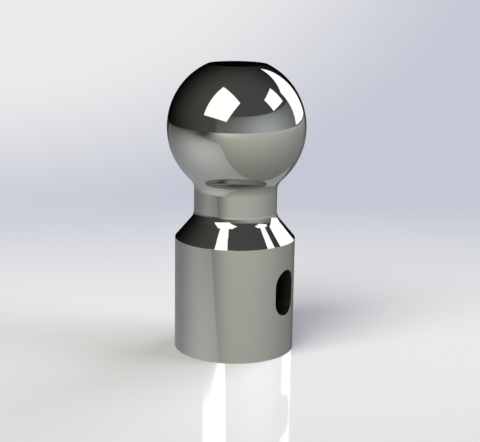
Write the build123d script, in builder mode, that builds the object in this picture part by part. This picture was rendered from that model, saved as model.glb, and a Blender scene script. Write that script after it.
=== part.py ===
import os
from math import acos, cos, degrees, radians, sin, sqrt

from build123d import *

# A tow ball turned from one steel bar: a ball with a faced top, a waisted neck, a coned shoulder and a
# plain round shank with a tall slot through it for the locking pin.
# Millimetres, +Z up. The origin is the middle of the base, and the slot runs along X.

# Shank
shank_diameter = 44.45  # 1-3/4 in bar
shank_height = 42.1

# Shoulder and neck. The neck's length is between the sharp corners that its two fillets round off
shoulder_angle = 40.5  # cone, measured from the axis
shoulder_fillet = 5.5
neck_diameter = 30.6
neck_length = 12.4
ball_fillet = 5.6

# Ball
ball_diameter = 50.8  # 2 in coupling size
flat_diameter = 21.8  # faced top

# Slot for the locking pin, taller than the pin so that the ball can be drawn down onto its seat
pin_diameter = 11.1  # 7/16 in
pin_clearance = 0.25
pin_travel = 5.8
slot_centre_height = 23.9

# Sharp edges are broken all over
edge_break = 0.12

# Bearing of the drawn section about Z, which keeps the seams of the turned faces well clear of the slot
section_bearing = 52.5

shank_radius = shank_diameter / 2
neck_radius = neck_diameter / 2
ball_radius = ball_diameter / 2
flat_radius = flat_diameter / 2
slot_width = pin_diameter + pin_clearance

# Heights of the sharp corners of the section, from the base up
cone_height = (shank_radius - neck_radius) * cos(radians(shoulder_angle)) / sin(radians(shoulder_angle))
neck_base_height = shank_height + cone_height
neck_top_height = neck_base_height + neck_length
ball_centre_height = neck_top_height + sqrt(ball_radius**2 - neck_radius**2)
top_height = ball_centre_height + sqrt(ball_radius**2 - flat_radius**2)

# The ball's arc, as angles up from the horizontal through its centre
arc_start = -degrees(acos(neck_radius / ball_radius))
arc_end = degrees(acos(flat_radius / ball_radius))

with BuildPart() as tow_ball:
    # Half of the turned section, from the axis outwards
    with BuildSketch(Plane.XZ.rotated((0, 0, section_bearing))) as section:
        with BuildLine():
            base = Line((0, 0), (shank_radius, 0))
            side = Line(base @ 1, (shank_radius, shank_height))
            cone = Line(side @ 1, (neck_radius, neck_base_height))
            neck = Line(cone @ 1, (neck_radius, neck_top_height))
            ball = CenterArc((0, ball_centre_height), ball_radius, arc_start, arc_end - arc_start)
            flat = Line(ball @ 1, (0, top_height))
            Line(flat @ 1, base @ 0)
        make_face()
        rounded_corners = (
            (side @ 1, edge_break),
            (neck @ 0, shoulder_fillet),
            (neck @ 1, ball_fillet),
            (ball @ 1, edge_break),
        )
        for corner, radius in rounded_corners:
            fillet(section.vertices().sort_by_distance(corner)[0], radius)
        chamfer(section.vertices().sort_by_distance(base @ 1)[0], edge_break)
    revolve(axis=Axis.Z)

    # Pin slot, right through the shank, with a chamfer that follows each curved mouth
    with BuildSketch(Plane.YZ):
        with Locations((0, slot_centre_height)):
            SlotCenterToCenter(pin_travel, slot_width, rotation=90)
    extrude(amount=shank_diameter, both=True, mode=Mode.SUBTRACT)
    mouths = tow_ball.edges(Select.LAST).filter_by(Axis.X, reverse=True)
    chamfer(mouths, edge_break)

tow_ball.part.label = "tow_ball"

os.makedirs("parts", exist_ok=True)
export_step(tow_ball.part, "parts/tow_ball.step")
print("ball centre", round(ball_centre_height, 2), "height", round(top_height, 2))
print("volume", round(tow_ball.part.volume))
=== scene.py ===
from math import cos, degrees, radians, sin

import bmesh
import bpy
from mathutils import Matrix, Vector


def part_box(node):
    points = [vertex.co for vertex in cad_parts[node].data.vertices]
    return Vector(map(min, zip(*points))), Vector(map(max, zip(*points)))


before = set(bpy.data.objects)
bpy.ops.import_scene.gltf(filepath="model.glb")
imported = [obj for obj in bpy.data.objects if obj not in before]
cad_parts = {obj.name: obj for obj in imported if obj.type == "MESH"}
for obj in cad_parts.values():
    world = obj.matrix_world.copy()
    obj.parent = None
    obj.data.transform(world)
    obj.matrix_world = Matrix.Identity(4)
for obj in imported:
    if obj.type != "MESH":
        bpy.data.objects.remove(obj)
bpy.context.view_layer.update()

# A polished steel tow ball, turned as one bar with a slot milled across its shank.
# Metres and degrees. Bearings are turned from the side that the camera stands on, positive to its right.

scene = bpy.context.scene
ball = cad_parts["tow_ball"]


class Shade:
    # wraps one socket, so that sums written with it add their Math nodes

    def __init__(self, tree, socket=None):
        self.tree = tree
        self.socket = socket

    def node(self, kind, settings, sockets, out=0):
        made = self.tree.nodes.new(kind)
        for name, value in settings.items():
            setattr(made, name, value)
        for key, value in sockets.items():
            if isinstance(value, Shade):
                self.tree.links.new(value.socket, made.inputs[key])
            else:
                made.inputs[key].default_value = value
        return Shade(self.tree, made.outputs[out] if made.outputs else None)

    def math(self, operation, *values):
        return self.node("ShaderNodeMath", {"operation": operation}, dict(enumerate(values)))

    def largest(self, other):
        return self.math("MAXIMUM", self, other)

    def unsigned(self):
        return self.math("ABSOLUTE", self)

    def exp(self):
        return self.math("EXPONENT", self)

    def smooth(self, low, high):
        return self.node(
            "ShaderNodeMapRange",
            {"interpolation_type": "SMOOTHSTEP"},
            {"Value": self, "From Min": low, "From Max": high},
        )

    def mix(self, first, second):
        # this value picks between two colours
        return self.node("ShaderNodeMix", {"data_type": "RGBA"}, {0: self, 6: first, 7: second}, out=2)

    def between(self, first, second):
        # this value picks between two numbers
        return self.node("ShaderNodeMix", {"data_type": "FLOAT"}, {0: self, 2: first, 3: second})

    def tint(self, colour):
        # this value times a colour
        return self.node("ShaderNodeVectorMath", {"operation": "SCALE"}, {0: colour, "Scale": self})

    def __add__(self, other):
        return self.math("ADD", self, other)

    def __sub__(self, other):
        return self.math("SUBTRACT", self, other)

    def __rsub__(self, other):
        return self.math("SUBTRACT", other, self)

    def __mul__(self, other):
        return self.math("MULTIPLY", self, other)

    def __truediv__(self, other):
        return self.math("DIVIDE", self, other)

    def __pow__(self, other):
        return self.math("POWER", self, other)

    def __rpow__(self, other):
        return self.math("POWER", other, self)

    def __neg__(self):
        return self.math("MULTIPLY", self, -1)

    __radd__ = __add__
    __rmul__ = __mul__


def newMaterial(name):
    material = bpy.data.materials.new(name)
    material.use_nodes = True
    material.node_tree.nodes.clear()
    return material, Shade(material.node_tree)


def direction(bearing, height):
    # a unit vector in the set's own axes: right, away from the camera, up
    level = cos(radians(height))
    return Vector((sin(radians(bearing)) * level, -cos(radians(bearing)) * level, sin(radians(height))))


# Camera
camera = {
    "lens": 89.3,  # millimetres, as its sensor is
    "sensor": 36,
    "bearing": 32.36,  # round from the -Y side
    "distance": 0.42965,  # level distance from the axis
    "height": 0.1469,
    "turn": 0.233,
    "dip": 12.982,
    "roll": 0.923,
}


def placeCamera():
    data = bpy.data.cameras.new("camera")
    data.lens = camera["lens"]
    data.sensor_width = camera["sensor"]
    eye = bpy.data.objects.new("camera", data)
    scene.collection.objects.link(eye)
    place = Matrix.Rotation(radians(camera["bearing"]), 4, "Z")
    place @= Matrix.Translation((0, -camera["distance"], camera["height"]))
    place @= Matrix.Rotation(radians(-camera["turn"]), 4, "Z")
    place @= Matrix.Rotation(radians(90 - camera["dip"]), 4, "X")
    place @= Matrix.Rotation(radians(camera["roll"]), 4, "Z")
    eye.matrix_world = place
    scene.camera = eye
    return eye


eye = placeCamera()
print("camera placed")


def onSet(name, bm):
    # a thing of the studio, turned so that its own -Y faces the camera
    mesh = bpy.data.meshes.new(name)
    bm.to_mesh(mesh)
    bm.free()
    thing = bpy.data.objects.new(name, mesh)
    scene.collection.objects.link(thing)
    thing.rotation_euler.z = radians(camera["bearing"])
    return thing


def notOnFloor(shade):
    # 1, but 0 in the light that the polish would throw back on the floor
    return 1 - shade.node("ShaderNodeLightPath", {}, {}, out="Diffuse Depth").smooth(0, 1)


# Floor, which fades out evenly all round so that it has no edge
floor = {
    "radius": 0.3,
    "sides": 96,
    "height": 0.00002,  # just clear of the base, so that the base can be seen from below
    "centre": 0.01,  # away from the camera
    "stretch": 1.9,  # across the view
    "fade": (0.03, 0.285),  # distances from the middle
    "colour": (0.86, 0.86, 0.855, 1),
    "ior": 1.45,  # of the clear gloss over the paint
    "gloss": 3,  # times what such a gloss mirrors
    "glossColour": (0.985, 0.99, 1, 1),
    "glossRoughness": 0.075,
}


def layFloor():
    bm = bmesh.new()
    bmesh.ops.create_circle(bm, cap_ends=True, segments=floor["sides"], radius=floor["radius"])
    bmesh.ops.scale(bm, verts=bm.verts, vec=(floor["stretch"], 1, 1))
    bmesh.ops.translate(bm, verts=bm.verts, vec=(0, floor["centre"], floor["height"]))
    ground = onSet("floor", bm)
    material, shade = newMaterial("paleFloor")
    point = shade.node("ShaderNodeTexCoord", {}, {}, out="Object")
    squeezed = shade.node(
        "ShaderNodeVectorMath", {"operation": "MULTIPLY"}, {0: point, 1: (1 / floor["stretch"], 1, 1)}
    )
    middle = (0, floor["centre"], 0)
    fromCentre = shade.node(
        "ShaderNodeVectorMath", {"operation": "DISTANCE"}, {0: squeezed, 1: middle}, out="Value"
    )
    paint = shade.node("ShaderNodeBsdfDiffuse", {}, {"Color": floor["colour"]})
    grazing = shade.node("ShaderNodeFresnel", {}, {"IOR": floor["ior"]})
    mirror = shade.node(
        "ShaderNodeBsdfAnisotropic", {}, {"Color": floor["glossColour"], "Roughness": floor["glossRoughness"]}
    )
    sheen = shade.node("ShaderNodeMixShader", {}, {0: grazing * floor["gloss"], 2: mirror})
    lacquered = shade.node("ShaderNodeAddShader", {}, {0: paint, 1: sheen})
    clear = shade.node("ShaderNodeBsdfTransparent", {}, {})
    fromBelow = shade.node("ShaderNodeNewGeometry", {}, {}, out="Backfacing")
    fading = fromCentre.smooth(*floor["fade"]).largest(fromBelow)
    mixed = shade.node("ShaderNodeMixShader", {}, {0: fading, 1: lacquered, 2: clear})
    shade.node("ShaderNodeOutputMaterial", {}, {"Surface": mixed})
    ground.data.materials.append(material)
    ground.visible_glossy = False


layFloor()
print("floor laid")

# Softboxes, by the bearing and height of each corner as seen from the ball. Each is a panel that the
# polish shows, and a lamp of the same outline that lights the floor, moved by a bearing and a height
softboxes = {
    "distance": 4,
    "centre": 0.083,  # height of the ball
    "panelGlow": 1.87,
    "left": {
        "corners": ((-59.7, 68.9), (7.1, 46.9), (-17.1, 15.9), (-59.1, 20.8)),
        "panelColour": (1, 0.985, 0.96, 1),
        "lampColour": (1, 0.973, 0.91, 1),
        "lampGlow": 4.94,
        "lampMoved": (-3, 2),
    },
    "right": {
        "corners": ((101.4, 49.3), (100.6, 29), (69.8, 25.7), (62.6, 44)),
        "panelColour": (0.97, 0.985, 1, 1),
        "lampColour": (0.855, 0.893, 1, 1),
        "lampGlow": 5.96,
        "lampMoved": (3, 0),
    },
    "back": {
        "corners": ((155.4, 43.3), (111.4, 34.7), (113.1, -0.5), (150.6, -0.6)),
        "panelColour": (0.97, 0.985, 1, 1),
        "lampColour": (0.877, 0.89, 1, 1),
        "lampGlow": 4.17,
        "lampMoved": (-2, 0),
    },
}


def cutSheet(name, corners, moved=(0, 0)):
    bm = bmesh.new()
    sheet = []
    for bearing, height in corners:
        place = direction(bearing + moved[0], height + moved[1]) * softboxes["distance"]
        sheet.append(bm.verts.new(place + Vector((0, 0, softboxes["centre"]))))
    bm.faces.new(sheet)
    return onSet(name, bm)


# Only the ball mirrors the panels and the room: the floor would show them as hard shapes
polished = bpy.data.collections.new("polished")
polished.objects.link(ball)


def hangSoftbox(name):
    box = softboxes[name]
    panel = cutSheet("panel_" + name, box["corners"])
    material, shade = newMaterial("panel_" + name)
    strength = notOnFloor(shade) * softboxes["panelGlow"]
    glow = shade.node("ShaderNodeEmission", {}, {"Color": box["panelColour"], "Strength": strength})
    shade.node("ShaderNodeOutputMaterial", {}, {"Surface": glow})
    material.cycles.emission_sampling = "NONE"
    panel.data.materials.append(material)
    panel.visible_camera = False
    panel.visible_diffuse = False
    panel.visible_shadow = False
    panel.light_linking.receiver_collection = polished

    lamp = cutSheet("lamp_" + name, box["corners"], box["lampMoved"])
    material, shade = newMaterial("lamp_" + name)
    glow = shade.node("ShaderNodeEmission", {}, {"Color": box["lampColour"], "Strength": box["lampGlow"]})
    shade.node("ShaderNodeOutputMaterial", {}, {"Surface": glow})
    lamp.data.materials.append(material)
    lamp.visible_camera = False
    lamp.visible_glossy = False
    lamp.visible_shadow = False


for name in ("left", "right", "back"):
    hangSoftbox(name)
print("softboxes hung")

# Studio room, which only the polish shows: a dark ceiling, a lit wall on the right and a floor of two tones.
# Each part turns from one tint to the other between the two bearings of its turn
room = {
    "radius": 12,
    "subdivisions": 4,
    "again": 0.68,  # share left each time that the polish mirrors itself
    "ceiling": {
        "tone": 0.0956,
        "fade": (-1.111, 0.272),  # up from black as it comes round to the camera's side
        "low": (0.51, 36.8, 40, 110),  # share lost at the horizon on the left, degrees up, and where it grows
        "turn": (-90, 60),
        "left": (1.03, 1.046, 0.925, 1),
        "right": (0.996, 0.997, 1.008, 1),
    },
    "wall": {
        "tone": 0.159,
        "peak": (0.402, 48.9, 45.3),  # how much brighter, at which bearing, and how wide
        "dim": (1.035, 0.00061),  # at the horizon, and less for each squared degree up
        "top": (23.9, 25.9),  # heights
        "start": (-37.7, -29.8),  # bearings of its two ends
        "end": (150, 157),
        "turn": (-20, 55),
        "front": (1.014, 1.009, 0.976, 1),
        "side": (0.958, 1.015, 1.03, 1),
    },
    "rightFloor": {
        "tone": 0.333,
        "rise": (0.272, 1.331),  # how much more at the horizon than straight down, and its power
        "swing": (0.79, 0.397, 13.8),  # share all round, and how much more at a bearing
        "glow": (0.328, -28.1, 27.3, -3.8, 4.9),  # soft patch: bearing, width, height and how tall
        "rim": (0.122, 0.165, 50, 115, 2.93),  # at the horizon, more of it, where that grows, degrees down
        "reach": (-106.2, -0.6),  # bearings over which it comes in from the left
        "round": (140, 178),  # and on the left behind the ball
        "behind": (0.36, 132, 166),  # share lost right behind the ball, and where it grows
        "turn": (30, 90),
        "front": (1.035, 1.033, 0.932, 1),
        "side": (1.015, 1.022, 0.963, 1),
    },
    "leftFloor": {
        "tone": 0.484,
        "swing": (0.529, 2.466, -58.2),  # how much more towards a bearing, its power and the bearing
        "haze": 17.2,  # degrees down over which it comes out of the dark
        "front": (1.005, 1.02, 0.972, 1),
        "back": (0.973, 1, 1.03, 1),
    },
    "seams": ((58.5, 12.3), (11.5, 65.3), (133.8, 61)),  # straight seams on the floor, by what they face
    "seamSoft": 0.012,
    "corner": (0.854, -52.9, 20, -3.2, 8),  # share lost in a soft patch, placed as the glow is
    "dusk": ((146, 160), (-13.2, -2.1)),  # right behind the ball, bearings and heights
    "horizon": {
        "height": -1.65,
        "soft": 0.5,
        "drop": (3.41, 46.7, 161.4),  # degrees lower on the left, and the bearings where that grows
        "rise": (0.52, 40, 90),  # degrees higher on the right, and the bearings where that grows
        "fall": (105, 120),  # and where it ends
    },
}


def buildRoom():
    bm = bmesh.new()
    bmesh.ops.create_icosphere(bm, subdivisions=room["subdivisions"], radius=room["radius"])
    shell = onSet("room", bm)
    material, shade = newMaterial("room")
    point = shade.node("ShaderNodeTexCoord", {}, {}, out="Object")
    aim = shade.node("ShaderNodeVectorMath", {"operation": "NORMALIZE"}, {0: point})
    right, away, up = (shade.node("ShaderNodeSeparateXYZ", {}, {0: aim}, out=axis) for axis in "XYZ")
    bearing = right.math("ARCTAN2", right, -away) * degrees(1)
    height = up.math("ARCSINE", up) * degrees(1)

    def towards(*place):
        return shade.node(
            "ShaderNodeVectorMath", {"operation": "DOT_PRODUCT"}, {0: aim, 1: direction(*place)}, out="Value"
        )

    def patch(atBearing, wide, atHeight, tall):
        # a soft round patch
        across = ((bearing - atBearing) / wide) ** 2
        return (-across - ((height - atHeight) / tall) ** 2).exp()

    part = room["ceiling"]
    lost, depth, *growth = part["low"]
    low = (-bearing).smooth(*growth) * (-height.largest(0) / depth).exp()
    ceiling = (-away).smooth(*part["fade"]) * part["tone"] * (1 - lost * low)
    ceiling = ceiling.tint(bearing.smooth(*part["turn"]).mix(part["left"], part["right"]))

    part = room["wall"]
    more, peakBearing, wide = part["peak"]
    peak = (-(((bearing - peakBearing) / wide) ** 2)).exp()
    level, lost = part["dim"]
    wall = (peak * more + part["tone"]) * (level - height * height * lost)
    wall = wall.tint(bearing.smooth(*part["turn"]).mix(part["front"], part["side"]))
    wallHere = bearing.smooth(*part["start"]) * (1 - bearing.smooth(*part["end"]))
    wallHere = wallHere * (1 - height.smooth(*part["top"]))
    above = wallHere.mix(ceiling, wall)

    part = room["rightFloor"]
    rise, power = part["rise"]
    swing, gain, swingBearing = part["swing"]
    glow, *glowPlace = part["glow"]
    tone = (part["tone"] + rise * (up + 1) ** power) * (swing + gain * towards(swingBearing, 0))
    rim, more, *growth, depth = part["rim"]
    rim = rim + more * bearing.smooth(*growth)
    tone = tone + glow * patch(*glowPlace) + rim * (-(-height).largest(0) / depth).exp()
    lost, *growth = part["behind"]
    tone = tone * (1 - lost * bearing.unsigned().smooth(*growth))
    tone = tone.tint(bearing.smooth(*part["turn"]).mix(part["front"], part["side"]))
    reach = bearing.smooth(*part["reach"]).largest((-bearing).smooth(*part["round"]))
    rightFloor = reach.mix(ceiling, tone)

    part = room["leftFloor"]
    swing, power, swingBearing = part["swing"]
    facing = towards(swingBearing, 0).largest(0)
    haze = (1 - (height / part["haze"]).exp()).largest(0)
    tone = (part["tone"] + swing * facing**power) * haze
    leftFloor = tone.tint(facing.smooth(0, 1).mix(part["back"], part["front"]))

    soft = room["seamSoft"]
    near, far, behind = (towards(*place).smooth(-soft, soft) for place in room["seams"])
    below = near.largest(far).largest(behind).mix(leftFloor, rightFloor)
    shadow, *cornerPlace = room["corner"]
    below = (1 - shadow * patch(*cornerPlace)).tint(below)
    around, under = room["dusk"]
    below = (1 - bearing.unsigned().smooth(*around) * height.smooth(*under)).tint(below)

    part = room["horizon"]
    drop, *dropGrowth = part["drop"]
    rise, *riseGrowth = part["rise"]
    raised = bearing.smooth(*riseGrowth) * (1 - bearing.smooth(*part["fall"]))
    edge = part["height"] - drop * (-bearing).smooth(*dropGrowth) + rise * raised
    colour = (edge - height).smooth(-part["soft"], part["soft"]).mix(above, below)
    bounces = shade.node("ShaderNodeLightPath", {}, {}, out="Glossy Depth")
    strength = room["again"] ** (bounces - 1).largest(0) * notOnFloor(shade)
    glowing = shade.node("ShaderNodeEmission", {}, {"Color": colour, "Strength": strength})
    shade.node("ShaderNodeOutputMaterial", {}, {"Surface": glowing})
    material.cycles.emission_sampling = "NONE"
    shell.data.materials.append(material)
    shell.light_linking.receiver_collection = polished
    shell.visible_camera = False
    shell.visible_diffuse = False
    shell.visible_shadow = False
    shell.visible_transmission = False


buildRoom()
print("room built")

# Backdrop: pale, with a glow on the left above the ball. Its places are across and up, for a distance of 1
backdrop = {
    "glow": (0.833, 0.833, 0.834, 1),
    "far": (0.556, 0.574, 0.663, 1),
    "glowPlace": (-0.253, 0.2445),
    "glowSpread": (0.3653, 0.1985),
    "fade": (0.604, 1.343),  # from the glow to the far colour, in spreads
    "lightColour": (1, 1, 1, 1),
    "plainLight": 0.08,
}


def hangBackdrop():
    world = bpy.data.worlds.new("backdrop")
    world.use_nodes = True
    world.node_tree.nodes.clear()
    scene.world = world
    shade = Shade(world.node_tree)
    aim = shade.node("ShaderNodeTexCoord", {}, {}, out="Generated")
    turned = eye.matrix_world.to_3x3()
    fromGlow = []
    for axis in (0, 1):
        along = shade.node(
            "ShaderNodeVectorMath", {"operation": "DOT_PRODUCT"}, {0: aim, 1: turned.col[axis]}, out="Value"
        )
        fromGlow.append(((along - backdrop["glowPlace"][axis]) / backdrop["glowSpread"][axis]) ** 2)
    spread = (fromGlow[0] + fromGlow[1]) ** 0.5
    colour = spread.smooth(*backdrop["fade"]).mix(backdrop["glow"], backdrop["far"])
    pale = shade.node("ShaderNodeBackground", {}, {"Color": colour, "Strength": 1})
    light = shade.node(
        "ShaderNodeBackground", {}, {"Color": backdrop["lightColour"], "Strength": backdrop["plainLight"]}
    )
    seen, glossy, through = (
        shade.node("ShaderNodeLightPath", {}, {}, out=kind)
        for kind in ("Is Camera Ray", "Is Glossy Ray", "Is Transmission Ray")
    )
    shown = seen.largest(glossy).largest(through)
    mixed = shade.node("ShaderNodeMixShader", {}, {0: shown, 1: light, 2: pale})
    shade.node("ShaderNodeOutputWorld", {}, {"Surface": mixed})


hangBackdrop()
print("backdrop hung")

# Steel: mirror-bright where it is turned and mopped, satin on the faced ends, dull where the slot is milled,
# with painted shade darkening the slot deeper in.
# Depths are in millimetres, the rest in metres, and scales are per metre
steel = {
    "bright": (0.565, 0.57, 0.55, 1),
    "deep": (0.55, 0.556, 0.538, 1),
    "clouds": 70,  # soft patches that the mop leaves
    "cloudEdges": (0.3, 0.7),
    "polished": (0.014, 0.03),  # roughness where it is bright, and where deep
    "lines": 2200,  # across the marks of the lathe
    "lineEnds": 30,  # along them
    "lineDepth": 0.0006,
    "facedDeep": (0.42, 0.425, 0.41, 1),
    "ringEdges": (0.35, 0.65),
    "faced": 0.06,  # roughness
    "facedDepth": 0.003,
    "faceSkin": (0.00003, 0.00006),  # how far in from the ends that finish reaches
    "slotHeight": 0.0239,
    "slotStraight": 0.0029,  # half of the straight stretch of its sides
    "slotSkin": (0.0058, 0.00584),  # from its middle line, just outside its broken edge
    "dull": (0.33, 0.33, 0.315, 1),
    "dark": (0.11, 0.11, 0.105, 1),  # painted shade deep in the slot
    "mouth": (0.0135, 0.0215),  # from the axis, where the painted shade deep in the slot gives way to the dull milled colour
    "milled": 0.36,  # roughness
    "cutterLines": 1400,
    "cutterDepth": 0.01,
    "detail": 2,  # of all the noise
}


def polish():
    material, shade = newMaterial("polishedSteel")
    point = shade.node("ShaderNodeTexCoord", {}, {}, out="Object")
    x, y, z = (shade.node("ShaderNodeSeparateXYZ", {}, {0: point}, out=axis) for axis in "XYZ")
    radius = (x * x + y * y) ** 0.5

    def vector(*parts):
        return shade.node("ShaderNodeCombineXYZ", {}, dict(enumerate(parts)))

    def grain(point, w=0):
        sockets = {"Vector": point, "W": w, "Scale": 1, "Detail": steel["detail"]}
        return shade.node("ShaderNodeTexNoise", {"noise_dimensions": "4D"}, sockets)

    # Where the ends are faced, and where the slot is milled
    low, high = (corner[2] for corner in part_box("tow_ball"))
    thin, thick = steel["faceSkin"]
    faced = z.smooth(high - thick, high - thin).largest(1 - z.smooth(low + thin, low + thick))
    above = (z - steel["slotHeight"]).unsigned() - steel["slotStraight"]
    fromSlot = (y * y + above.largest(0) ** 2) ** 0.5
    milled = 1 - fromSlot.smooth(*steel["slotSkin"])

    # Marks of the lathe run round the axis, those of the cutter straight through the slot
    across, along = steel["lines"], steel["lineEnds"]
    turning = grain(vector(radius * across, x * along, y * along), z * across)
    across = steel["cutterLines"]
    milling = grain(vector(x * along, y * across, z * across))
    soft = steel["clouds"]
    clouds = grain(vector(x * soft, y * soft, z * soft)).smooth(*steel["cloudEdges"])
    depth = milled.between(faced.between(steel["lineDepth"], steel["facedDepth"]), steel["cutterDepth"])
    marks = milled.between(turning, milling) * depth
    uneven = shade.node("ShaderNodeBump", {}, {"Strength": 1, "Distance": 0.001, "Height": marks})

    mopped = clouds.mix(steel["bright"], steel["deep"])
    ringed = turning.smooth(*steel["ringEdges"]).mix(steel["facedDeep"], steel["bright"])
    # the slot's colour: dull milled steel at the mouth, darkening into painted shade deeper in
    slotColourAndShade = x.unsigned().smooth(*steel["mouth"]).mix(steel["dark"], steel["dull"])
    outside = faced.between(clouds.between(*steel["polished"]), steel["faced"])

    metal = shade.node(
        "ShaderNodeBsdfPrincipled",
        {},
        {
            "Base Color": milled.mix(faced.mix(mopped, ringed), slotColourAndShade),
            "Metallic": 1,
            "Roughness": milled.between(outside, steel["milled"]),
            "Normal": uneven,
        },
    )
    shade.node("ShaderNodeOutputMaterial", {}, {"Surface": metal})
    ball.data.materials.clear()
    ball.data.materials.append(material)


polish()
print("steel polished")

scene.view_settings.view_transform = "Standard"
